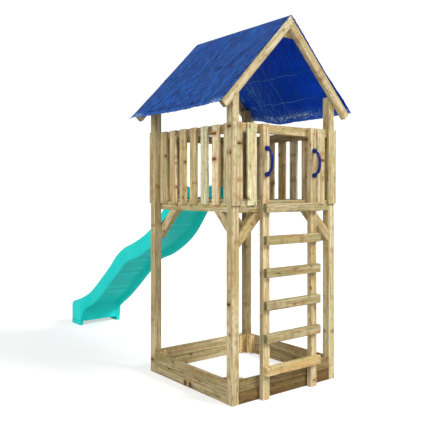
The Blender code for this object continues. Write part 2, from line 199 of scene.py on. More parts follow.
def pine_material():
    """Pine that reads, from each board's vertices, the place in the log, the grain and a tint."""
    material, g, shader = new_material("pine")

    def read(name, output):
        return g.add("ShaderNodeAttribute", attribute_name=name).outputs[output]

    grain, along, tint = read("grain", "Vector"), read("along", "Vector"), read("tint", "Color")

    # the pith wanders a little along the length
    wander = g.stretch(grain, 1.5, 1.5, 1.1)
    drift_x = g.spread(g.noise(wander, 1.0, 1.0), 0.2, 0.8, -0.010, 0.010)
    drift_y = g.spread(g.noise(g.vector("ADD", wander, (7.3, 2.1, 4.4)), 1.0, 1.0), 0.2, 0.8, -0.010, 0.010)
    moved = g.vector("ADD", grain, g.join(drift_x, drift_y, 0.0))
    x, y, z = g.split(moved)

    # knots widen outward from the pith
    outward = g.vector("NORMALIZE", g.join(x, y, 0.0))
    shell = g.vector("ADD", g.stretch(outward, KNOT_DEPTH / KNOT_SPACING, KNOT_DEPTH / KNOT_SPACING, 0.0),
                     g.join(0.0, 0.0, g.math("DIVIDE", z, KNOT_SPACING)))
    cells = g.add("ShaderNodeTexVoronoi", {"Vector": shell, "Scale": 1.0})
    chance = g.split(cells.outputs["Color"])
    size = g.spread(chance["X"], 0.30, 1.0, 0.08, 0.20)
    present = g.math("GREATER_THAN", chance["Y"], 0.48)
    away = g.math("DIVIDE", g.math("ADD", cells.outputs["Distance"],
                                   g.spread(g.noise(grain, 90.0, 2.0), 0.3, 0.7, -0.02, 0.02)), size)
    knot = g.math("MULTIPLY", g.spread(away, 1.15, 0.85, smooth=True), present)
    heart = g.math("MULTIPLY", g.spread(away, 0.80, 0.25, smooth=True), present)
    halo = g.math("MULTIPLY", g.spread(away, 3.6, 0.9, smooth=True), present)

    # growth rings, sharp on one side, pushed aside by the knots
    radius = g.math("SQRT", g.math("ADD", g.math("MULTIPLY", x, x), g.math("MULTIPLY", y, y)))
    ripple = g.spread(g.noise(g.stretch(grain, 26.0, 26.0, 2.4), 1.0, 3.0), 0.25, 0.75, -0.0022, 0.0022)
    pushed = g.math("ADD", g.math("ADD", radius, ripple), g.math("MULTIPLY", halo, 0.010))
    year = g.math("FRACT", g.math("DIVIDE", pushed, RING))
    late = g.math("MULTIPLY", g.math("POWER", year, 2.5), g.spread(year, 1.0, 0.93))

    # fibres, streaks and broad changes of tone
    fibre = g.noise(g.stretch(grain, 620.0, 620.0, 9.0), 1.0, 3.0, 0.6)
    streak = g.noise(g.stretch(grain, 70.0, 70.0, 3.0), 1.0, 4.0, 0.62)
    broad = g.noise(g.stretch(grain, 36.0, 36.0, 1.2), 1.0, 2.0, 0.5)
    green = g.noise(g.stretch(grain, 26.0, 26.0, 3.2), 1.0, 3.0, 0.55)
    wear = g.noise(g.stretch(grain, 42.0, 42.0, 18.0), 1.0, 4.0, 0.6)
    fleck = g.noise(g.stretch(grain, 130.0, 130.0, 46.0), 1.0, 2.0, 0.6)

    colour = g.mix(g.spread(broad, 0.40, 0.60), srgb(238, 226, 186), srgb(208, 184, 130))
    colour = g.mix(g.spread(streak, 0.48, 0.64, 0.0, 0.85), colour, srgb(172, 144, 94))
    colour = g.mix(g.spread(green, 0.52, 0.64, 0.0, 0.75), colour, srgb(184, 182, 130))
    colour = g.mix(g.math("MULTIPLY", late, 0.45), colour, srgb(146, 104, 56))
    colour = g.mix(g.spread(wear, 0.54, 0.72, 0.0, 0.55), colour, srgb(120, 108, 72))
    colour = g.mix(g.spread(fleck, 0.56, 0.72, 0.0, 0.45), colour, srgb(112, 92, 58))
    colour = g.mix(g.spread(fibre, 0.52, 0.80, 0.0, 0.30), colour, srgb(140, 108, 62))
    colour = g.mix(g.math("MULTIPLY", halo, 0.60), colour, srgb(158, 112, 60))
    colour = g.mix(g.math("MULTIPLY", knot, 0.90), colour, srgb(92, 58, 30))
    colour = g.mix(g.math("MULTIPLY", heart, g.spread(chance["Z"], 0.0, 1.0, 0.1, 0.9)), colour, srgb(50, 32, 20))

    # fine drying checks along the grain
    split_at = g.noise(g.stretch(grain, 34.0, 34.0, 1.5), 1.0, 2.0, 0.5)
    split_where = g.spread(g.noise(g.stretch(grain, 8.0, 8.0, 2.2), 1.0, 1.0), 0.56, 0.62)
    thin = g.spread(g.math("ABSOLUTE", g.math("SUBTRACT", split_at, 0.5)), 0.012, 0.004)
    check = g.math("MULTIPLY", thin, split_where)
    colour = g.mix(g.math("MULTIPLY", check, 0.78), colour, srgb(84, 58, 34))

    # sawn ends are darker, with the preservative's green
    facing = g.math("ABSOLUTE", g.vector("DOT_PRODUCT", g.add("ShaderNodeNewGeometry").outputs["Normal"],
                                         along))
    cut_end = g.spread(facing, 0.80, 0.95, smooth=True)
    colour = g.mix(g.math("MULTIPLY", cut_end, read("tint", "Alpha")), colour, srgb(98, 100, 66))
    colour = g.mix(1.0, colour, tint, blend="MULTIPLY")

    height = g.math("MULTIPLY", fibre, 0.00016)
    height = g.math("ADD", height, g.math("MULTIPLY", late, 0.00012))
    height = g.math("ADD", height, g.math("MULTIPLY", knot, 0.00035))
    height = g.math("SUBTRACT", height, g.math("MULTIPLY", check, 0.0012))
    g.bump(height, shader)
    g.put(shader.inputs["Base Color"], colour)
    g.put(shader.inputs["Roughness"],
          g.spread(g.math("ADD", streak, g.math("MULTIPLY", late, 0.2)), 0.3, 0.8, 0.78, 0.60))
    shader.inputs["Specular IOR Level"].default_value = 0.3
    return material


def piece(name, mesh, material, slot, *nodes):
    """Link a mesh with its material as a piece that stands for CAD nodes, and hide those nodes; slot is not used.
    """
    obj = bpy.data.objects.new(name, mesh)
    bpy.context.scene.collection.objects.link(obj)
    mesh.materials.append(material)
    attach(obj, BODY)
    if nodes:
        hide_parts(*nodes)
    return obj


# Tints that set one piece's timber off against another's
PLAIN = (1.0, 1.0, 1.0)
PALE = (1.20, 1.24, 1.32)
PINK = (1.10, 1.01, 1.00)
GREEN = (1.00, 1.05, 0.97)
DULL = (0.92, 0.90, 0.86)
BROWN = (0.76, 0.74, 0.68)
DARK = (0.54, 0.49, 0.42)
DARKEST = (0.28, 0.21, 0.11)
HONEY = (1.00, 0.95, 0.84)
PALE_GREEN = (1.22, 1.36, 1.54)
TAN = (1.14, 1.00, 0.84)
PALE_PINK = (1.42, 1.38, 1.46)


class Timber:
    """The boards of one piece, each an island with rounded edges and its own place in a log."""

    CUT = 0.12              # spacing of the cuts along a board
    WAVER = 0.0005          # how far planing leaves a face from true

    def __init__(self, name, seed, sawn=0.75):
        self.name = name
        self.sawn = sawn        # how dark and green the sawn ends are
        self.chance = random.Random(seed)
        self.points, self.faces = [], []
        self.values = {"grain": [], "along": [], "tint": []}

    def board(self, low, high, along, tint, edge=BOARD_ROUND):
        """A straight board between two corners."""
        bm = bmesh.new()
        cube = bmesh.ops.create_cube(bm, size=1)["verts"]
        bmesh.ops.scale(bm, vec=high - low, verts=cube)
        bmesh.ops.translate(bm, vec=(low + high) / 2, verts=cube)
        bmesh.ops.bevel(bm, geom=bm.edges[:], offset=edge, segments=3, profile=0.5, affect="EDGES")
        self.take(bm, along, tint)

    def node(self, name, along, tint, left=1.0):
        """The solid of a CAD node, with its chamfers rounded off; left is a painted shade on its face towards -X.
        """
        bm = bmesh.new()
        bm.from_mesh(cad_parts[name].data)
        bmesh.ops.remove_doubles(bm, verts=bm.verts, dist=0.00002)
        bmesh.ops.dissolve_limit(bm, angle_limit=math.radians(1), verts=bm.verts, edges=bm.edges)
        turning = [e for e in bm.edges if e.calc_face_angle(0) > math.radians(20)]
        bmesh.ops.bevel(bm, geom=turning, offset=0.0012, segments=2, profile=0.5, affect="EDGES",
                        clamp_overlap=True)
        self.take(bm, along, tint, left)

    def take(self, bm, along, tint, left=1.0):
        """Cut a board across its grain, give it its place in a log and let its faces waver."""
        reach = [v.co.dot(along) for v in bm.verts]
        count = int((max(reach) - min(reach)) / self.CUT)
        for i in range(1, count):
            at = min(reach) + (max(reach) - min(reach)) * i / count
            geometry = bm.verts[:] + bm.edges[:] + bm.faces[:]
            bmesh.ops.bisect_plane(bm, geom=geometry, plane_co=along * at, plane_no=along)
        wide = ACROSS if abs(along.dot(ACROSS)) < 0.1 else ALONG
        wide = (wide - along * wide.dot(along)).normalized()
        turn = Matrix((wide, along.cross(wide), along))
        middle = sum((v.co for v in bm.verts), Vector()) / len(bm.verts)
        angle = self.chance.uniform(0, 2 * math.pi)
        far = self.chance.uniform(0.018, 0.060)
        pith = Vector((far * math.cos(angle), far * math.sin(angle), self.chance.uniform(5, 90)))
        light = self.chance.uniform(0.95, 1.04)
        colour = [part * light * self.chance.uniform(0.985, 1.015) for part in tint]
        left_face = min(v.co.x for v in bm.verts) + 0.001
        first = len(self.points)
        bm.verts.index_update()
        for vert in bm.verts:
            log = turn @ (vert.co - middle) + pith
            self.values["grain"].extend(log)
            self.values["along"].extend(along)
            # painted shade: the vertices on the face towards -X take the factor left
            shade = left if vert.co.x < left_face else 1.0
            self.values["tint"].extend([part * shade for part in colour] + [self.sawn])
            self.points.append(vert.co + self.WAVER * noise.noise_vector(Vector((log.x * 9, log.y * 9, log.z * 3))))
        self.faces += [[first + v.index for v in face.verts] for face in bm.faces]
        bm.free()

    def finish(self, *nodes):
        mesh = bpy.data.meshes.new(self.name)
        mesh.from_pydata(self.points, [], self.faces)
        for name, kind, field in (("grain", "FLOAT_VECTOR", "vector"), ("along", "FLOAT_VECTOR", "vector"),
                                  ("tint", "FLOAT_COLOR", "color")):
            mesh.attributes.new(name, kind, "POINT").data.foreach_set(field, self.values[name])
        mesh.shade_smooth()
        obj = piece(self.name, mesh, PINE, "pine", *nodes)
        obj.modifiers.new("normals", "WEIGHTED_NORMAL").weight = 100
        return obj


def straight_timber():
    """Each CAD node that is one piece of timber, with the direction of its grain and its tint."""
    found = {}
    for end, side in CORNERS:
        left, front = -SIGN[side], -SIGN[end]
        found[f"post_{end}_{side}"] = (UP, DULL)
        found[f"brace_{end}_{side}"] = (Vector((left, 0, 1)).normalized(), DULL)
        found[f"brace_{side}_{end}"] = (Vector((0, front, 1)).normalized(), DULL)
        found[f"rafter_{end}_{side}"] = (Vector((left * math.cos(SLOPE), 0, math.sin(SLOPE))), PLAIN)
    found["post_front_right"] = (UP, (1.10, 1.12, 1.10))
    found["post_back_right"] = (UP, DARK)
    for end in ("front", "back"):
        found[f"beam_{end}"] = (ACROSS, DULL)
        found[f"ridge_gusset_{end}"] = (ACROSS, HONEY)
    for side in ("left", "right"):
        found[f"beam_{side}"] = (ALONG, PLAIN)
        found[f"ladder_stile_{side}"] = (UP, (1.06, 1.05, 1.06))
    found["ridge_beam"] = (ALONG, PALE)
    for number in range(1, 7):
        found[f"rung_{number}"] = (ACROSS, BROWN)
    found["rung_1"] = (ACROSS, (1.12, 1.04, 0.88))
    return found


FRESH_ENDS = ("ridge_beam", "rung_1")       # sawn ends as light as the faces
# painted shade: the ladder's left stile is drawn darker on its face towards -X
LEFT_FACE_PAINTED_SHADE = {"ladder_stile_left": 0.68}    # faces towards -X that are darker than the rest


def single_timbers():
    for seed, (node, (along, tint)) in enumerate(straight_timber().items()):
        timber = Timber(f"{node}_timber", 100 + seed, 0.1 if node in FRESH_ENDS else 0.75)
        timber.node(node, along, tint, LEFT_FACE_PAINTED_SHADE.get(node, 1.0))
        timber.finish(node)


# Parapets: a rail with upright slats on its outer face
SLAT_LOW, SLAT_TOP = 1.453, 2.065
SIDE_SLAT_STEP = 0.1448
SIDE_SLAT_TINTS = (GREEN, PALE_PINK, PALE_GREEN, HONEY, HONEY, PINK, DULL)    # from the front to the back
FRONT_SLATS = ((-0.507, PLAIN), (-0.372, PALE_GREEN), (0.372, PLAIN), (0.507, HONEY))
BACK_SLATS = ((-0.507, DULL), (-0.3865, DULL), (-0.266, DULL), (0.266, GREEN), (0.3865, DULL), (0.507, DULL))


def parapets():
    for seed, side in enumerate(("left", "right")):
        node = f"parapet_{side}"
        low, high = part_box(node)
        timber = Timber(f"{node}_timber", 200 + seed)
        sign = SIGN[side]
        outer = high.x if sign > 0 else low.x
        board_in = outer - sign * BOARD_THICK
        rail_x = sorted((board_in, board_in - sign * PLANK_THICK))
        rail_low = SLAT_TOP - 0.003 - PLANK
        timber.board(Vector((rail_x[0], low.y, rail_low)), Vector((rail_x[1], high.y, SLAT_TOP - 0.003)),
                     ALONG, DARK, PLANK_ROUND)
        slat_x = sorted((outer, board_in))
        for i, tint in enumerate(SIDE_SLAT_TINTS):
            middle = TOWER_Y + (3 - i) * SIDE_SLAT_STEP * -1
            timber.board(Vector((slat_x[0], middle - BOARD / 2, SLAT_LOW)),
                         Vector((slat_x[1], middle + BOARD / 2, SLAT_TOP)), UP, tint)
        timber.finish(node)
    for seed, (end, slats) in enumerate((("front", FRONT_SLATS), ("back", BACK_SLATS))):
        node = f"parapet_{end}"
        low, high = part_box(node)
        timber = Timber(f"{node}_timber", 210 + seed)
        sign = SIGN[end]
        outer = high.y if sign > 0 else low.y
        board_in = outer - sign * BOARD_THICK
        inner = low.y if sign > 0 else high.y
        rail_y = sorted((board_in, inner))
        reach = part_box(f"beam_{end}")[1].x
        timber.board(Vector((-reach, rail_y[0], SLAT_TOP - 0.003 - PLANK)),
                     Vector((reach, rail_y[1], SLAT_TOP - 0.003)), ACROSS,
                     HONEY if end == "front" else BROWN, PLANK_ROUND)
        slat_y = sorted((outer, board_in))
        for middle, tint in slats:
            timber.board(Vector((middle - BOARD / 2, slat_y[0], SLAT_LOW)),
                         Vector((middle + BOARD / 2, slat_y[1], SLAT_TOP)), UP, tint)
        timber.finish(node)


# Platform floor: boards laid side by side across the tower
FLOOR_BOARDS = 12


def floor_boards():
    low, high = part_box("platform_floor")
    timber = Timber("platform_floor_timber", 220)
    step = (high.y - low.y - BOARD) / (FLOOR_BOARDS - 1)
    for i in range(FLOOR_BOARDS):
        start = low.y + i * step
        timber.board(Vector((low.x, start, low.z)), Vector((high.x, start + BOARD, high.z)), ACROSS,
                     (PLAIN, HONEY, GREEN, DULL)[i % 4])
    timber.finish("platform_floor")


# Sandpit frame: two stacked boards a side, held by a short upright plank at each end
SANDPIT_TINTS = {"front": (DARKEST, (0.43, 0.37, 0.28)), "back": (BROWN, DULL), "left": (BROWN, (0.68, 0.66, 0.58)), "right": (DARK, (0.60, 0.55, 0.49))}
BOARD_JOINT = 0.0025
CLEAT_INSET = 0.0035    # top and bottom of a cleat inside the boards' edges
CLEAT_END = 0.0008      # cleat to the end of its boards


def sandpit():
    for seed, side in enumerate(SANDPIT_TINTS):
        node = f"sandpit_{side}"
        low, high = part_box(node)
        timber = Timber(f"{node}_timber", 230 + seed, 0.1)
        swap = side in ("front", "back")
        sign = SIGN[side]
        run = (low.x, high.x) if swap else (low.y, high.y)
        near, far = (low.y, high.y) if swap else (low.x, high.x)
        outer = far if sign > 0 else near

        def place(depth, along_side, height):
            return Vector((along_side, depth, height) if swap else (depth, along_side, height))

        def span(depths, runs, heights, along, tint):
            a, b = sorted(depths)
            timber.board(place(a, runs[0], heights[0]), place(b, runs[1], heights[1]), along, tint)

        tall = (high.z - low.z - BOARD_JOINT) / 2
        inner = outer - sign * BOARD_THICK
        grain = ACROSS if swap else ALONG
        lower, upper = SANDPIT_TINTS[side]
        span((outer, inner), run, (low.z, low.z + tall), grain, lower)
        span((outer, inner), run, (high.z - tall, high.z), grain, upper)
        cleat = (inner, inner - sign * PLANK_THICK)
        heights = (low.z + CLEAT_INSET, high.z - CLEAT_INSET)
        span(cleat, (run[0] + CLEAT_END, run[0] + CLEAT_END + PLANK), heights, UP, TAN)
        span(cleat, (run[1] - CLEAT_END - PLANK, run[1] - CLEAT_END), heights, UP, TAN)
        timber.finish(node)


# Screws
SCREW_HEAD = 0.0042     # radius of a countersunk head
SCREW_SIDES = 12


def screw_steel():
    material, g, shader = new_material("screw_steel")
    place = g.add("ShaderNodeTexCoord").outputs["Object"]
    stain = g.noise(place, 240.0, 3.0)
    g.put(shader.inputs["Base Color"], g.mix(stain, srgb(92, 80, 62), srgb(150, 140, 118)))
    g.put(shader.inputs["Roughness"], g.spread(stain, 0.3, 0.7, 0.35, 0.6))
    shader.inputs["Metallic"].default_value = 0.85
    return material


def screws(name, places, radius=SCREW_HEAD):
    """Countersunk heads with a star drive, each given as a place on the surface and its normal."""
    points, faces = [], []
    rings = ((1.0, -0.0012), (1.0, 0.0001), (0.86, 0.0004), (0.45, 0.0004), (0.30, -0.0008))
    for place, normal in places:
        turn = normal.to_track_quat("Z", "Y")
        first = len(points)
        for share, height in rings:
            for i in range(SCREW_SIDES):
                star = 1.0 if share > 0.5 or i % 2 else 0.72
                angle = 2 * math.pi * i / SCREW_SIDES
                flat = Vector((math.cos(angle), math.sin(angle), 0)) * radius * share * star
                points.append(place + turn @ (flat + Vector((0, 0, height))))
        for ring in range(len(rings) - 1):
            for i in range(SCREW_SIDES):
                a = first + ring * SCREW_SIDES + i
                b = first + ring * SCREW_SIDES + (i + 1) % SCREW_SIDES
                faces.append((a, b, b + SCREW_SIDES, a + SCREW_SIDES))
        last = first + (len(rings) - 1) * SCREW_SIDES
        faces.append(range(last, last + SCREW_SIDES))
        faces.append(range(first + SCREW_SIDES - 1, first - 1, -1))
    mesh = bpy.data.meshes.new(name)
    mesh.from_pydata(points, [], faces)
    return piece(name, mesh, STEEL, None)


def parapet_screws():
    """Two screws through each slat into the rail, and two near its lower end."""
    places = []
    heights = (2.028, 1.473)
    for side in ("left", "right"):
        low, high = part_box(f"parapet_{side}")
        face = high.x if SIGN[side] > 0 else low.x
        for i in range(-3, 4):
            for z in heights:
                for off in (-0.026, 0.026):
                    places.append((Vector((face, TOWER_Y + i * SIDE_SLAT_STEP + off, z)), ACROSS * SIGN[side]))
    for end, slats in (("front", FRONT_SLATS), ("back", BACK_SLATS)):
        low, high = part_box(f"parapet_{end}")
        face = high.y if SIGN[end] > 0 else low.y
        for middle, _ in slats:
            for z in heights:
                for off in (-0.026, 0.026):
                    places.append((Vector((middle + off, face, z)), ALONG * SIGN[end]))
    screws("parapet_screws", places)


def ladder_screws():
    """Two screws through each end of a rung, and two through each stile at the rail."""
    places = []
    for number in range(1, 7):
        low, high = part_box(f"rung_{number}")
        middle = (low.z + high.z) / 2
        for x in (-0.256, 0.256):
            for off in (-0.017, 0.017):
                places.append((Vector((x + off * 0.6, low.y, middle + off)), -ALONG))
    for side in ("left", "right"):
        low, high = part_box(f"ladder_stile_{side}")
        x = (low.x + high.x) / 2
        places += [(Vector((x + off * 0.7, low.y, 2.028 + off)), -ALONG) for off in (-0.014, 0.014)]
    screws("ladder_screws", places)


def floor_screws():
    """Two screws at each end of a floor board."""
    low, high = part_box("platform_floor")
    step = (high.y - low.y - BOARD) / (FLOOR_BOARDS - 1)
    places = []
    for i in range(FLOOR_BOARDS):
        for y in (0.020, BOARD - 0.020):
            for x in (low.x + 0.022, high.x - 0.022):
                places.append((Vector((x, low.y + i * step + y, high.z)), UP))
    screws("floor_screws", places)


def sandpit_screws():
    """Two nails through each end of a board into its cleat, and two through each cleat."""
    places = []
    for side in SANDPIT_TINTS:
        low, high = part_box(f"sandpit_{side}")
        swap = side in ("front", "back")
        sign = SIGN[side]
        normal = (ALONG if swap else ACROSS) * sign
        run = (low.x, high.x) if swap else (low.y, high.y)
        outer = (high if sign > 0 else low)[1 if swap else 0]
        inner = (low if sign > 0 else high)[1 if swap else 0]
        for end in (run[0] + 0.028, run[1] - 0.028):
            for z in (0.030, 0.066, 0.118, 0.155):
                for depth, facing, off in ((outer, normal, 0.0), (inner, -normal, 0.010)):
                    if depth == inner and z in (0.066, 0.118):
                        continue
                    at = end + (off if end < sum(run) / 2 else -off)
                    where = (at, depth, z) if swap else (depth, at, z)
                    places.append((Vector(where), facing))
    screws("sandpit_screws", places)


def frame_screws():
    """Screws through the braces, the rafters and the gussets."""
    places = []
    for end in ("front", "back"):
        sign = SIGN[end]
        low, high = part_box(f"brace_{end}_left")
        face = high.y if sign > 0 else low.y
        for side in (-1, 1):
            # each brace runs from the post at its foot up to the beam
            foot = Vector((side * (abs(low.x) - 0.030), face, low.z + 0.062))
            head = Vector((side * (abs(high.x) + 0.062), face, high.z - 0.030))
            places += [(foot, ALONG * sign), (head, ALONG * sign)]
        low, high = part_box(f"rafter_{end}_left")
        face = high.y if sign > 0 else low.y
        for side in (-1, 1):
            for x in (0.045, 0.072, 0.500, 0.534):
                z = 2.917 - x * math.tan(SLOPE) - (0.034 + 0.012 * (x in (0.045, 0.500))) / math.cos(SLOPE)
                places.append((Vector((side * x, face, z)), ALONG * sign))
    for side in ("left", "right"):
        sign = SIGN[side]
        for end in ("front", "back"):
            low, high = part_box(f"brace_{side}_{end}")
            face = high.x if sign > 0 else low.x
            toward = SIGN[end]
            near = high.y if toward > 0 else low.y
            far = low.y if toward > 0 else high.y
            places.append((Vector((face, near - toward * 0.030, low.z + 0.062)), ACROSS * sign))
            places.append((Vector((face, far + toward * 0.062, high.z - 0.030)), ACROSS * sign))
    screws("frame_screws", places)


# Roof cover: one tarpaulin over the ridge
RIDGE_TOP = 2.917
COVER_CLEAR = 0.0016            # middle of the cloth above the rafters
CLOTH_THICK = 0.0012
RIDGE_ROUND = 0.003
EAVE = 0.702                    # the left hem's distance from the middle
COVER_FRONT = -0.604
HEM = 0.030
RIGHT_HEM = ((-0.60, 0.692), (-0.45, 0.690), (0.0, 0.688), (0.20, 0.694), (0.36, 0.676), (0.46, 0.655),
             (0.62, 0.640))
BACK_EDGE = ((-1.02, 0.678), (-0.85, 0.655), (-0.55, 0.632), (0.0, 0.622), (0.55, 0.632), (1.02, 0.650))
FOLDS_ALONG = (-0.778, -0.505, 0.505, 0.778)     # packing creases, by slope distance
FOLDS_DOWN = (0.033, 0.350)
CLOTH_STEP = 0.0085


def ridged(place):
    """Noise that peaks in narrow ridges, from 0 to 1."""
    return 1 - min(1.0, abs(noise.noise(place)) * 2.6)


def wrinkle(down, run, edge, back):
    """Height of the cloth's wrinkles at a signed slope distance and a place along the ridge; edge is
    the way to the nearest edge and back the way to the back edge."""
    drift = run - 0.22 * abs(down)
    side = 40.0 if down > 0 else 0.0
    waver = 0.05 * noise.noise(Vector((down * 3.1, run * 4.0, side)))
    height = 0.0040 * ridged(Vector(((drift + waver) * 7.0, down * 1.3, side + 3))) ** 2
    height += 0.0030 * ridged(Vector(((drift + waver) * 17.0, down * 4.2, side + 9))) ** 3
    height += 0.0016 * ridged(Vector(((drift - waver) * 31.0, down * 11.0, side + 15))) ** 3
    where = smooth(noise.noise(Vector((run * 5.0, down * 5.0, side + 33))), -0.25, 0.35)
    crumple = ridged(Vector((run * 19.0, down * 19.0, side + 21))) ** 3
    height += crumple * (0.0014 * where + 0.0036 * smooth(edge, 0.16, 0.02))
    height *= 0.15 + 0.85 * smooth(back, 0.02, 0.16)
    fold = max([math.exp(-((down - line + 0.3 * waver) / 0.006) ** 2) for line in FOLDS_ALONG]
               + [math.exp(-((run - line + 0.3 * waver) / 0.006) ** 2) for line in FOLDS_DOWN])
    return height + 0.0022 * fold


def cover_point(across, along):
    """A point of the cover and its place on the cloth: across runs from the left hem, -1, to the right,
    1, and along from the front to the back."""
    run = COVER_FRONT + along * (curve(BACK_EDGE, across) - COVER_FRONT)
    right = curve(RIGHT_HEM, run) / math.cos(SLOPE)
    left = EAVE / math.cos(SLOPE)
    down = across * (right if across > 0 else left)
    hem = (right - down) if across > 0 else (left + down)
    back = (1 - along) * 1.2
    edge = min(hem, run - COVER_FRONT + 0.04, back)
    x = down * math.cos(SLOPE)
    steep = x / math.sqrt(x * x + RIDGE_ROUND ** 2)
    normal = Vector((steep * math.sin(SLOPE), 0, math.cos(SLOPE)))
    normal.normalize()
    z = RIDGE_TOP - math.sqrt(x * x + RIDGE_ROUND ** 2) * math.tan(SLOPE) + 0.4 * RIDGE_ROUND
    between = max(0.0, 1 - (run / 0.555) ** 2)
    mid_slope = smooth(abs(down), 0.03, 0.3)
    lift = COVER_CLEAR + wrinkle(down, run, edge, back) * smooth(abs(down), 0.0, 0.05)
    lift -= 0.010 * between * mid_slope
    lift += 0.0009 * (smooth(edge, HEM + 0.002, HEM - 0.002) if edge == hem else 0)
    if down > 0:
        flare = smooth(down, 0.52, 0.98) * math.exp(-((run + 0.60) / 0.22) ** 2)
        lift += 0.020 * flare
    behind = smooth(run, 0.60, 0.68)
    lift -= 0.010 * behind
    tuck = smooth(hem, 0.022, 0.0)
    lift -= 0.006 * tuck * between
    return in_tower(x, run, z) + normal * lift, Vector((run, down, hem))


def roof_cover():
    columns = round(2 * EAVE / math.cos(SLOPE) / CLOTH_STEP)
    rows = round(1.24 / CLOTH_STEP)
    points = [cover_point(2 * i / columns - 1, j / rows) for i in range(columns + 1) for j in range(rows + 1)]
    faces = []
    for i in range(columns):
        for j in range(rows):
            a = i * (rows + 1) + j
            b = a + rows + 1
            faces.append((a, b, b + 1, a + 1))
    mesh = bpy.data.meshes.new("tarpaulin")
    mesh.from_pydata([point for point, _ in points], [], faces)
    places = mesh.attributes.new("cloth", "FLOAT_VECTOR", "POINT")
    places.data.foreach_set("vector", [part for _, place in points for part in place])
    mesh.shade_smooth()
    cover = piece("roof_tarpaulin", mesh, tarpaulin("tarpaulin_outside", OUTSIDE), "tarpaulin", "roof_cover")
    mesh.materials.append(tarpaulin("tarpaulin_inside", INSIDE))
    thick = cover.modifiers.new("thickness", "SOLIDIFY")
    thick.thickness = CLOTH_THICK
    thick.offset = 0.0
    thick.material_offset = 1


# The two faces of the cloth: relief scales the bump, lines is how pale the creases are, all_over the
# share of them outside the crumpled part, painted_glint_band the strength of the painted glints in a strip
# above the hem, wrinkle_bump_and_painted_shade how deep the wrinkles' hollows are in the bump and how strongly
# painted shade in them and painted highlight on their crests differ in tone, painted_crease_shading the
# strength of the painted shade and highlight beside the long creases down the slope, and painted_back_shade
# how much painted shade darkens the crumpled end at the back
OUTSIDE = {"colour": srgb(0, 74, 164), "pale": srgb(70, 140, 214), "roughness": 0.36, "specular": 0.10,
           "relief": 2.6, "lines": 0.30, "all_over": 1.0, "painted_glint_band": 0.0, "wrinkle_bump_and_painted_shade": 0.45, "painted_crease_shading": 1.0,
           "painted_back_shade": 0.0}
# the inside's colour is a brighter blue than the outside's: painted light, standing in for the light that shines
# through the cloth
INSIDE = {"colour": srgb(0, 76, 222), "pale": srgb(120, 192, 252), "roughness": 0.36, "specular": 0.03,
          "relief": 1.0, "lines": 1.0, "all_over": 0.05, "painted_glint_band": 1.0, "wrinkle_bump_and_painted_shade": 0.2, "painted_crease_shading": 0.0,
          "painted_back_shade": 0.5}


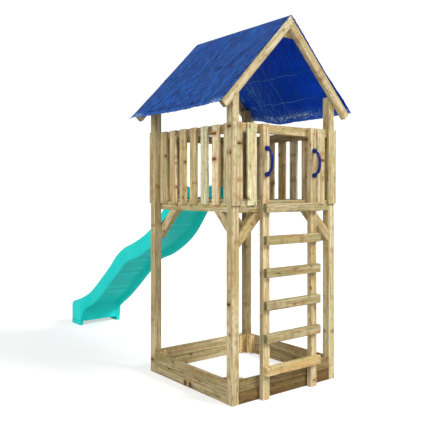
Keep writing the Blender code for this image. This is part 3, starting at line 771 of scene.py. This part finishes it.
def tarpaulin(name, look):
    """Coated woven sheet: a fine weave, creases where the coating has been crushed and has paled, painted shade and
    highlights on its wrinkles, creases and hem, and painted glints near the hem.
    """
    material, g, shader = new_material(name)
    cloth = g.add("ShaderNodeAttribute", attribute_name="cloth").outputs["Vector"]
    run, down, hem = g.split(cloth)
    sway = g.add("ShaderNodeTexNoise", {"Vector": cloth, "Scale": 5.0, "Detail": 3.0}).outputs["Color"]
    slack = g.vector("ADD", cloth, g.vector("MULTIPLY", sway, (0.06, 0.06, 0.0)))
    lean = g.join(g.math("SUBTRACT", run, g.math("MULTIPLY", g.math("ABSOLUTE", down), 0.22)), down, 0.0)
    swayed = g.vector("ADD", lean, g.vector("MULTIPLY", sway, (0.05, 0.05, 0.0)))
    cloud = g.noise(cloth, 5.0, 4.0, 0.6)
    loose = g.spread(hem, 0.17, 0.03, smooth=True)
    crumpled = g.math("MULTIPLY", g.spread(run, 0.00, 0.30, smooth=True),
                      g.spread(g.math("ABSOLUTE", down), 0.34, 0.60, smooth=True))
    creased = g.math("MAXIMUM", crumpled, look["all_over"])

    def creases(vector, wide, seed):
        """Thin lines where a noise crosses its middle."""
        value = g.noise(g.vector("ADD", vector, (0.0, 0.0, seed)), 1.0, 1.0, 0.4)
        return g.spread(g.math("ABSOLUTE", g.math("SUBTRACT", value, 0.5)), wide, 0.0)

    def fold(place, line):
        gap = g.math("ABSOLUTE", g.math("SUBTRACT", place, line))
        return g.spread(gap, 0.0036, 0.0008)

    long_ones = creases(g.stretch(swayed, 9.0, 1.4, 1.0), 0.020, 1.7)
    middle_ones = creases(g.stretch(swayed, 21.0, 6.0, 1.0), 0.034, 5.2)
    short_ones = creases(g.stretch(slack, 34.0, 27.0, 1.0), 0.040, 9.4)
    sway_run, sway_down, _ = g.split(slack)
    folded = fold(sway_down, FOLDS_ALONG[0] + 0.03)
    for line in FOLDS_ALONG[1:]:
        folded = g.math("MAXIMUM", folded, fold(sway_down, line + 0.03))
    for line in FOLDS_DOWN:
        folded = g.math("MAXIMUM", folded, fold(sway_run, line + 0.03))

    def weigh(mask, least, share, by):
        """A mask scaled by least plus a share of another mask."""
        return g.math("MULTIPLY", mask, g.math("ADD", least, g.math("MULTIPLY", by, share)))

    here = g.spread(cloud, 0.38, 0.66)
    there = g.spread(cloud, 0.62, 0.36)
    lines = g.math("MAXIMUM", weigh(long_ones, 0.35, 0.5, here), weigh(middle_ones, 0.20, 0.5, there))
    lines = g.math("MAXIMUM", lines, weigh(short_ones, 0.05, 0.35, here))
    lines = g.math("MULTIPLY", lines, creased)
    lines = g.math("MAXIMUM", lines, weigh(short_ones, 0.0, 0.75, loose))
    folded = g.math("MULTIPLY", folded, g.spread(run, -0.42, -0.14, 0.15, 1.0, smooth=True))
    lines = g.math("MAXIMUM", lines, weigh(folded, 0.45, 0.4, here))
    # painted glints along the hem
    glint = g.spread(g.noise(g.stretch(cloth, 60.0, 170.0, 1.0), 1.0, 3.0, 0.6), 0.44, 0.62)
    hem_glints = g.math("MULTIPLY", g.spread(hem, 0.040, 0.006, smooth=True), glint)

    colour = look["colour"]
    # darker and lighter copies of the colour: the darker also gives a random cloudy tone, and below both stand for
    # painted shade and painted highlight
    shaded = tuple(part * 0.66 for part in colour[:3]) + (1,)
    lit = tuple(part * 1.55 for part in colour[:3]) + (1,)
    tone = g.mix(g.spread(cloud, 0.3, 0.7), colour, shaded)
    # painted shade: the cloth is drawn darker towards its crumpled back end, standing in for less light shining
    # through it there
    tone = g.mix(g.math("MULTIPLY", g.spread(run, -0.22, 0.12, smooth=True), look["painted_back_shade"]), tone, shaded)
    wavy = g.vector("ADD", lean, g.vector("MULTIPLY", sway, (0.12, 0.03, 0.0)))
    hollow = g.noise(g.stretch(wavy, 44.0, 10.0, 1.0), 1.0, 3.0, 0.60)
    # painted shade in the hollows of the wrinkles and painted highlight on their crests
    tone = g.mix(g.math("MULTIPLY", g.spread(hollow, 0.50, 0.40), look["wrinkle_bump_and_painted_shade"]), tone, shaded)
    tone = g.mix(g.math("MULTIPLY", g.spread(hollow, 0.50, 0.60), look["wrinkle_bump_and_painted_shade"]), tone, lit)
    # painted shade along thin grooves down the slope, with a painted highlight along the crest beside each
    sharp = g.vector("ADD", lean, g.vector("MULTIPLY", sway, (0.10, 0.02, 0.0)))
    for across, down_slope, seed, share in ((15.0, 1.7, 21.0, 1.0), (27.0, 3.6, 27.0, 0.7)):
        flow = g.noise(g.vector("ADD", g.stretch(sharp, across, down_slope, 1.0), (0.0, 0.0, seed)), 1.0, 2.0, 0.5)
        painted_groove_shade = g.spread(g.math("ABSOLUTE", g.math("SUBTRACT", flow, 0.530)), 0.034, 0.016)
        crest_highlight = g.spread(g.math("ABSOLUTE", g.math("SUBTRACT", flow, 0.472)), 0.028, 0.010)
        tone = g.mix(g.math("MULTIPLY", painted_groove_shade, share * look["painted_crease_shading"]), tone, srgb(0, 42, 116))
        tone = g.mix(g.math("MULTIPLY", crest_highlight, share * look["painted_crease_shading"]), tone, srgb(22, 104, 200))
    # painted highlight along the hem
    tone = g.mix(g.math("MULTIPLY", g.spread(hem, HEM + 0.006, HEM - 0.004, smooth=True), 0.55), tone, lit)
    tone = g.mix(g.math("MULTIPLY", lines, look["lines"]), tone, look["pale"])

    # painted glints: in a strip above the hem and at the hem's two ends
    glint_strip = g.math("MULTIPLY", g.spread(hem, 0.105, 0.060, smooth=True), g.spread(hem, 0.022, 0.040, smooth=True))
    reach = g.math("MULTIPLY", g.spread(run, -0.38, -0.14, smooth=True), g.spread(run, 0.46, 0.28, smooth=True))
    glint_specks = g.spread(g.noise(g.stretch(slack, 34.0, 52.0, 1.0), 1.0, 4.0, 0.62), 0.49, 0.55)
    white = g.math("MULTIPLY", g.math("MULTIPLY", g.math("MULTIPLY", glint_strip, reach), glint_specks), look["painted_glint_band"])
    fleck = g.spread(g.noise(g.stretch(slack, 52.0, 84.0, 1.0), 1.0, 3.0, 0.6), 0.50, 0.57)
    corner = g.math("MULTIPLY", g.spread(g.math("ABSOLUTE", run), 0.42, 0.52, smooth=True),
                    g.math("MULTIPLY", g.spread(hem, 0.075, 0.030, smooth=True), fleck))
    white = g.math("MAXIMUM", white, g.math("MAXIMUM", corner, g.math("MULTIPLY", hem_glints, 0.25)))
    tone = g.mix(white, tone, srgb(172, 210, 255))

    waves = {"Vector": cloth, "Scale": 160.0}
    weave = g.math("MULTIPLY", g.add("ShaderNodeTexWave", waves, bands_direction="X").outputs["Fac"],
                   g.add("ShaderNodeTexWave", waves, bands_direction="Y").outputs["Fac"])
    rise = g.math("MULTIPLY", long_ones, 0.0030)
    rise = g.math("ADD", rise, g.math("MULTIPLY", middle_ones, 0.0022))
    rise = g.math("ADD", rise, weigh(short_ones, 0.0006, 0.0020, loose))
    rise = g.math("ADD", rise, g.math("MULTIPLY", folded, 0.0014))
    rise = g.math("MULTIPLY", rise, look["relief"])
    rise = g.math("ADD", rise, g.math("MULTIPLY", hollow, 0.009 * look["wrinkle_bump_and_painted_shade"]))
    g.bump(g.math("ADD", rise, g.math("MULTIPLY", weave, 0.00005)), shader)
    g.put(shader.inputs["Base Color"], tone)
    rough = look["roughness"]
    g.put(shader.inputs["Roughness"], g.spread(cloud, 0.3, 0.7, rough - 0.05, rough + 0.08))
    shader.inputs["Specular IOR Level"].default_value = look["specular"]
    shader.inputs["Coat Weight"].default_value = 0.10
    shader.inputs["Coat Roughness"].default_value = 0.16
    return material


# Slide: heights of its edges along the run, as (distance behind the tower's middle, height)
SLIDE_START, SLIDE_FOOT, SLIDE_END = 0.470, 2.505, 2.790
FOOT_LEAN = 0.050       # lower edge of the wall across the foot, beyond its upper edge
SKIRT = ((0.470, 1.4876), (0.575, 1.4876), (0.640, 1.432), (0.834, 1.222), (0.974, 1.097), (1.120, 1.000),
         (1.340, 0.893), (1.560, 0.820), (1.750, 0.685), (2.030, 0.468), (2.250, 0.312), (2.420, 0.222),
         (2.505, 0.181), (2.790, 0.140))
RIM = ((0.470, 1.560), (0.500, 1.596), (0.560, 1.610), (0.660, 1.610), (0.710, 1.585), (0.780, 1.490),
       (0.872, 1.367), (1.050, 1.208), (1.206, 1.118), (1.425, 1.026), (1.582, 0.971), (1.745, 0.878),
       (1.868, 0.770), (2.060, 0.621), (2.261, 0.473), (2.436, 0.362), (2.600, 0.300), (2.700, 0.272),
       (2.760, 0.245), (2.790, 0.215))
BED_RISE = ((0.470, 0.0), (0.600, 0.002), (0.700, 0.035), (0.800, 0.075), (2.400, 0.075), (2.790, 0.040))
HALF_WIDTH = ((0.470, 0.219), (0.720, 0.219), (0.950, 0.234), (2.300, 0.236), (2.500, 0.262),
              (2.755, 0.262), (2.775, 0.254), (2.787, 0.240), (2.790, 0.232))
BED_THICK = 0.016
SKIRT_INSET = 0.020
STATION = 0.008
RIBS = ((0.900, 0.006), (0.975, 0.006), (1.200, 0.008), (1.275, 0.008), (1.500, 0.009), (1.575, 0.009),
        (1.675, 0.012), (1.800, 0.015), (1.880, 0.015), (2.100, 0.015), (2.180, 0.015))  # place, depth
RIB_HALF = 0.016
RIB_REACH = 0.142               # half length of a rib
RIB_DEEPEST = 0.015
FOOT_UNDER = 0.046
PAD_WIDE, PAD_LONG = 0.046, 0.212       # feet under the slide's end, flush with its sides
PAD_OUT, PAD_AT = 0.239, 2.662


def rounded(corners, steps=5):
    """A line through corners given as (x, z, rounding), each corner turned in a few steps."""
    line = []
    for i, (x, z, size) in enumerate(corners):
        here = Vector((x, z))
        if i in (0, len(corners) - 1) or not size:
            line.append(here)
            continue
        before = Vector(corners[i - 1][:2]) - here
        after = Vector(corners[i + 1][:2]) - here
        start = here + before.normalized() * min(size, before.length * 0.48)
        end = here + after.normalized() * min(size, after.length * 0.48)
        for k in range(steps + 1):
            t = k / steps
            line.append((1 - t) ** 2 * start + 2 * t * (1 - t) * here + t * t * end)
    return line


def rib(y):
    """Depth of the cross ribs under the bed."""
    most = 0.0
    for middle, deep in RIBS:
        near = abs(y - middle) / RIB_HALF
        if near < 1:
            most = max(most, deep * math.cos(near * math.pi / 2) ** 2)
    return most


def slide_half(y, foot):
    """Half of the slide's section, from the middle of its underside round to its bed."""
    skirt, rim, half = curve(SKIRT, y), curve(RIM, y), curve(HALF_WIDTH, y)
    under = skirt + curve(BED_RISE, y)
    bed = under + BED_THICK
    low = half - SKIRT_INSET
    deep = rib(y)
    if foot:
        under = skirt = FOOT_UNDER
        low, deep = half, 0.0
    rise = under - skirt
    corners = [(0, under - deep, 0), (0.125, under - deep, 0.010), (0.142, under - deep * 0.1, 0.006),
               (low - 0.052, under, 0.010), (low - 0.052 + 0.3 * rise, skirt + 0.1 * rise, 0.006),
               (low - 0.008, skirt, 0.005), (low, skirt + 0.008, 0.006), (half, rim - 0.030, 0.020),
               (half - 0.002, rim, 0.014), (half - 0.042, rim, 0.014), (half - 0.064, bed + 0.045, 0.020),
               (half - 0.085, bed, 0.030), (0, bed, 0)]
    return rounded(corners)


def slide():
    """One moulded channel, lofted through upright sections from the platform to the ground."""
    runs = round((SLIDE_FOOT - SLIDE_START) / STATION)
    stations = [(SLIDE_START + (SLIDE_FOOT - SLIDE_START) * i / runs, False, 0) for i in range(runs + 1)]
    stations = [(SLIDE_START, False, 0.006), (SLIDE_START + 0.002, False, 0.002)] + [
        (max(y, SLIDE_START + 0.006), foot, inset) for y, foot, inset in stations]
    tail = round((SLIDE_END - SLIDE_FOOT - FOOT_LEAN) / STATION)
    toe = SLIDE_FOOT + FOOT_LEAN
    stations += [(toe + (SLIDE_END - 0.006 - toe) * i / tail, True, 0) for i in range(tail + 1)]
    stations += [(SLIDE_END - 0.002, True, 0.002), (SLIDE_END, True, 0.006)]
    points, crest_highlights, faces = [], [], []
    count = 0
    for y, foot, inset in stations:
        half = slide_half(y, foot)
        ring = half + [Vector((-p.x, p.y)) for p in reversed(half[1:-1])]
        count = len(ring)
        if inset:
            middle = sum(ring, Vector((0, 0))) / count
            ring = [p + inset * inward(ring, k) for k, p in enumerate(ring)]
        points += [in_tower(p.x, y, p.y) for p in ring]
        # weights for a painted highlight on the crests of the ribs under the bed
        crest_highlight = ring[0].y + 0.3 * rib(y)
        crest_highlights += [0.0 if foot or p.y > crest_highlight or abs(p.x) > RIB_REACH else rib(y) / RIB_DEEPEST for p in ring]
    for s in range(len(stations) - 1):
        for k in range(count):
            a, b = s * count + k, s * count + (k + 1) % count
            faces.append((a, b, b + count, a + count))
    faces.append(range(count - 1, -1, -1))
    last = (len(stations) - 1) * count
    faces.append(range(last, last + count))
    bm = bmesh.new()
    for side in (-1, 1):
        pad = bmesh.ops.create_cube(bm, size=1)["verts"]
        tall = FOOT_UNDER + 0.001
        bmesh.ops.scale(bm, vec=Vector((PAD_WIDE, PAD_LONG, tall)), verts=pad)
        bmesh.ops.translate(bm, vec=in_tower(side * PAD_OUT, PAD_AT, tall / 2), verts=pad)
    bmesh.ops.bevel(bm, geom=bm.edges[:], offset=0.009, segments=3, profile=0.5, affect="EDGES")
    first = len(points)
    bm.verts.index_update()
    points += [v.co.copy() for v in bm.verts]
    faces += [[first + v.index for v in face.verts] for face in bm.faces]
    bm.free()
    mesh = bpy.data.meshes.new("slide_moulding")
    mesh.from_pydata(points, [], faces)
    crest_highlights += [0.0] * (len(points) - len(crest_highlights))
    mesh.attributes.new("crest_highlight", "FLOAT", "POINT").data.foreach_set("value", crest_highlights)
    mesh.shade_smooth()
    mesh.set_sharp_from_angle(angle=math.radians(50))
    moulding = piece("slide_moulding", mesh, slide_plastic(), "slide_plastic", "slide")
    moulding.modifiers.new("normals", "WEIGHTED_NORMAL").keep_sharp = True


def inward(ring, k):
    """The inward normal of a section's outline at one of its points."""
    step = ring[(k + 1) % len(ring)] - ring[k - 1]
    if step.length < 1e-6:
        return Vector((0, 0))
    return Vector((-step.y, step.x)).normalized()


def slide_plastic():
    """Rotationally moulded polyethylene: a soft gloss on a faint orange peel, with a painted highlight on the
    crests of the ribs.
    """
    material, g, shader = new_material("slide_plastic")
    place = g.add("ShaderNodeTexCoord").outputs["Object"]
    cloud = g.noise(place, 3.0, 4.0, 0.55)
    peel = g.noise(place, 190.0, 2.0, 0.5)
    dent = g.noise(place, 14.0, 2.0, 0.5)
    scuff = g.spread(g.noise(g.stretch(place, 60.0, 6.0, 6.0), 1.0, 3.0, 0.6), 0.60, 0.80)
    tone = g.mix(g.spread(cloud, 0.3, 0.7), srgb(40, 232, 224), srgb(32, 218, 211))
    tone = g.mix(g.math("MULTIPLY", scuff, 0.18), tone, srgb(110, 205, 196))
    # painted highlight on the crests of the ribs, where they would catch the light
    crest_highlight = g.add("ShaderNodeAttribute", attribute_name="crest_highlight").outputs["Fac"]
    tone = g.mix(crest_highlight, tone, srgb(86, 252, 242))
    g.put(shader.inputs["Base Color"], tone)
    g.put(shader.inputs["Roughness"], g.spread(g.math("ADD", peel, g.math("MULTIPLY", scuff, 0.5)),
                                               0.3, 1.0, 0.30, 0.46))
    g.bump(g.math("ADD", g.math("MULTIPLY", peel, 0.00006), g.math("MULTIPLY", dent, 0.0009)), shader)
    shader.inputs["Specular IOR Level"].default_value = 0.08
    return material


# Grab handles
HANDLE_LOW, HANDLE_HIGH = 1.683, 1.879
STANDOFF = 0.061
BAR = 0.0112
BALL = 0.018


def tube(bm, line, radii, sides=18):
    """A closed tube along a line in the plane x = 0."""
    rings = []
    for i, here in enumerate(line):
        ahead = line[min(i + 1, len(line) - 1)] - line[max(i - 1, 0)]
        ahead.normalize()
        out = ACROSS.cross(ahead)
        rings.append([bm.verts.new(here + radii[i] * (ACROSS * math.cos(a) * 1.12 + out * math.sin(a)))
                      for a in (2 * math.pi * k / sides for k in range(sides))])
    for near, far in zip(rings, rings[1:]):
        for k in range(sides):
            j = (k + 1) % sides
            bm.faces.new((near[k], near[j], far[j], far[k]))
    bm.faces.new(reversed(rings[0]))
    bm.faces.new(rings[-1])


def turned(bm, profile, place, sides=24):
    """A closed solid turned about the -Y axis from (distance out, radius) pairs."""
    rings = []
    for out, radius in profile:
        rings.append([bm.verts.new(place + Vector((radius * math.cos(a), -out, radius * math.sin(a))))
                      for a in (2 * math.pi * k / sides for k in range(sides))])
    for near, far in zip(rings, rings[1:]):
        for k in range(sides):
            j = (k + 1) % sides
            bm.faces.new((near[k], near[j], far[j], far[k]))
    bm.faces.new(reversed(rings[0]))
    bm.faces.new(rings[-1])


def handles():
    """A bowed bar between two ball bosses, with a cap over each screw."""
    plastic = handle_plastic()
    height = HANDLE_HIGH - HANDLE_LOW
    for side in ("left", "right"):
        low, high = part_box(f"grab_handle_{side}")
        x = (low.x + high.x) / 2
        face = high.y
        bm = bmesh.new()
        steps = 44
        line, radii = [], []
        for i in range(steps + 1):
            t = i / steps
            bow = (1 - abs(2 * t - 1) ** 3.2) ** 0.62
            line.append(Vector((0, -0.012 - (STANDOFF - 0.012) * bow, 0.010 + (height - 0.020) * t)))
            end = min(t, 1 - t)
            swell = math.exp(-((end - 0.10) / 0.035) ** 2)
            radii.append(BAR * (0.80 + 0.20 * smooth(end, 0.04, 0.09) + 0.16 * swell))
        tube(bm, line, radii)
        ball = [(0.0, 0.0198), (0.003, 0.0202), (0.0045, 0.0192)]
        for k in range(2, 15):
            angle = math.pi * k / 17 - math.pi / 2
            ball.append((0.013 + BALL * math.sin(angle) * 0.95, BALL * math.cos(angle)))
        ball = [p for p in ball if p[0] >= 0]
        ball.sort(key=lambda p: p[0])
        tip = ball[-1]
        ball += [(tip[0] - 0.0008, 0.0066), (tip[0] - 0.0012, 0.0060), (tip[0] + 0.0006, 0.0052),
                 (tip[0] + 0.0014, 0.0030), (tip[0] + 0.0016, 0.0008)]
        for z in (0, height):
            turned(bm, ball, Vector((0, 0, z)))
        bmesh.ops.recalc_face_normals(bm, faces=bm.faces)
        bmesh.ops.translate(bm, vec=Vector((x, face, HANDLE_LOW)), verts=bm.verts)
        mesh = bpy.data.meshes.new(f"handle_{side}")
        bm.to_mesh(mesh)
        bm.free()
        mesh.shade_smooth()
        mesh.set_sharp_from_angle(angle=math.radians(45))
        piece(f"grab_handle_{side}_moulding", mesh, plastic, "handle_plastic", f"grab_handle_{side}")


def handle_plastic():
    material, g, shader = new_material("handle_plastic")
    place = g.add("ShaderNodeTexCoord").outputs["Object"]
    cloud = g.noise(place, 30.0, 3.0)
    grit = g.noise(place, 700.0, 2.0)
    g.put(shader.inputs["Base Color"], g.mix(cloud, srgb(0, 36, 126), srgb(0, 28, 104)))
    g.put(shader.inputs["Roughness"], g.spread(cloud, 0.3, 0.7, 0.26, 0.38))
    g.bump(g.math("MULTIPLY", grit, 0.00004), shader)
    shader.inputs["Specular IOR Level"].default_value = 0.25
    return material


def place_camera():
    data = bpy.data.cameras.new("camera")
    data.lens = CAMERA_LENS
    data.shift_y = CAMERA_SHIFT
    camera = bpy.data.objects.new("camera", data)
    camera.location = in_tower(*CAMERA_PLACE)
    camera.rotation_euler = (math.pi / 2, 0, math.radians(CAMERA_TURN))
    bpy.context.scene.collection.objects.link(camera)
    bpy.context.scene.camera = camera


# Light: an even white surround and two broad soft lamps far off, each with the way it comes from,
# its strength and how wide it is in degrees
SURROUND = 0.37
LAMPS = (("key", (0.42, -0.78, 0.72), 2.4, 18), ("fill", (-0.85, -0.25, 0.40), 1.45, 50))
FLOOR_GLOW = 0.55               # added to what the camera sees of the floor


def studio():
    """A pale floor, a white surround and the lamps."""
    floor = bpy.data.meshes.new("floor")
    size = 40.0
    bm = bmesh.new()
    bmesh.ops.create_grid(bm, x_segments=1, y_segments=1, size=size)
    bm.to_mesh(floor)
    bm.free()
    obj = bpy.data.objects.new("floor", floor)
    bpy.context.scene.collection.objects.link(obj)
    material, g, shader = new_material("floor")
    shader.inputs["Base Color"].default_value = (0.64, 0.64, 0.64, 1)
    shader.inputs["Roughness"].default_value = 0.9
    shader.inputs["Emission Color"].default_value = (1, 1, 1, 1)
    g.put(shader.inputs["Emission Strength"],
          g.math("MULTIPLY", g.add("ShaderNodeLightPath").outputs["Is Camera Ray"], FLOOR_GLOW))
    floor.materials.append(material)

    world = bpy.data.worlds.new("studio")
    world.use_nodes = True
    g = Graph(world.node_tree)
    around = world.node_tree.nodes["Background"]
    around.inputs["Color"].default_value = (1, 1, 1, 1)
    around.inputs["Strength"].default_value = SURROUND
    behind = g.add("ShaderNodeBackground", {"Color": (1, 1, 1, 1), "Strength": 1.1})
    seen = g.add("ShaderNodeLightPath").outputs["Is Camera Ray"]
    both = g.add("ShaderNodeMixShader", {0: seen, 1: around.outputs[0], 2: behind.outputs[0]})
    g.put(world.node_tree.nodes["World Output"].inputs["Surface"], both.outputs[0])
    bpy.context.scene.world = world
    bpy.context.scene.view_settings.view_transform = "Standard"

    for name, direction, power, wide in LAMPS:
        data = bpy.data.lights.new(name, "SUN")
        data.energy = power
        data.angle = math.radians(wide)
        lamp = bpy.data.objects.new(name, data)
        lamp.rotation_euler = Vector(direction).to_track_quat("Z", "Y").to_euler()
        bpy.context.scene.collection.objects.link(lamp)


PINE = pine_material()
STEEL = screw_steel()
place_camera()
studio()
single_timbers()
parapets()
floor_boards()
sandpit()
parapet_screws()
ladder_screws()
floor_screws()
sandpit_screws()
frame_screws()
roof_cover()
slide()
handles()
